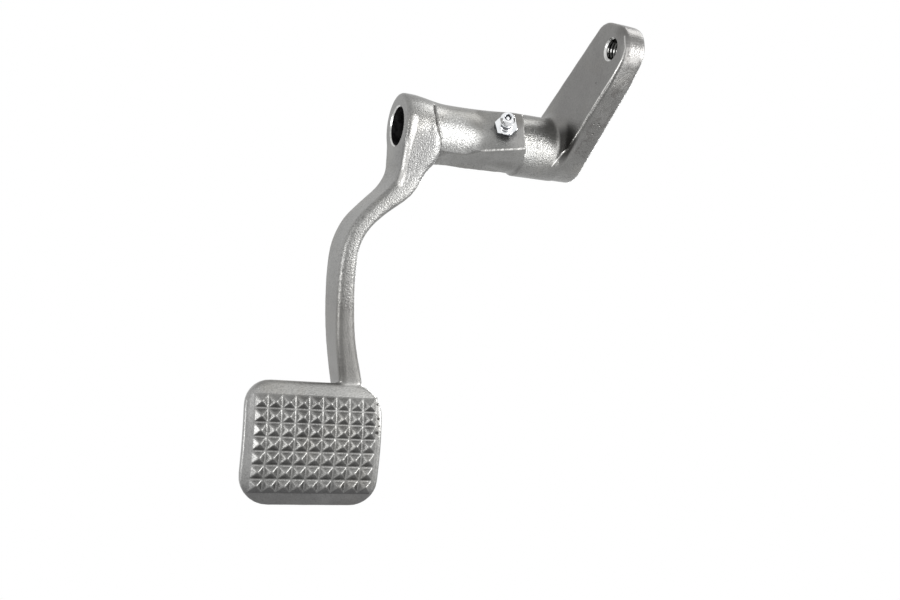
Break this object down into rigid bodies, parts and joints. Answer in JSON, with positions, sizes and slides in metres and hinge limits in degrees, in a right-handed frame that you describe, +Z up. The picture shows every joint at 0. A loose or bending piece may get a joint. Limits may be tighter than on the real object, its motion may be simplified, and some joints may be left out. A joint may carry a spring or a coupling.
{
  "type": "motorcycle brake pedal",
  "caption": "Cast brake pedal with a checkered foot pad on a curved arm, a hollow pivot barrel with a grease fitting, and a crank lever for the brake rod.",
  "frame": {"origin": "on the pivot bore's axis, at the flat end of the eye beside the arm", "axes": "+X along the pivot from the pad side to the crank lever, -Y toward the rider's foot, +Z up"},
  "size_m": [0.1488, 0.0707, 0.224],
  "materials": {
    "cast_steel": "bare, shot-blasted as cast",
    "plated_steel": "bright zinc plate",
    "ball_steel": "polished",
    "spring_steel": "drawn wire"
  },
  "bodies": {
    "pedal": {"pedal_casting": "cast_steel", "grease_fitting": "plated_steel", "fitting_spring": "spring_steel"},
    "check_ball": {"fitting_ball": "ball_steel"}
  },
  "joints": [
    {"name": "ball_slide", "type": "slide", "parent": "pedal", "child": "check_ball", "axis": [0.3616, 0.8761, -0.3189], "range_m": [0, 0.001], "stiffness_N_per_m": 800, "springref_m": -0.001, "deforming": ["fitting_spring"]}
  ]
}
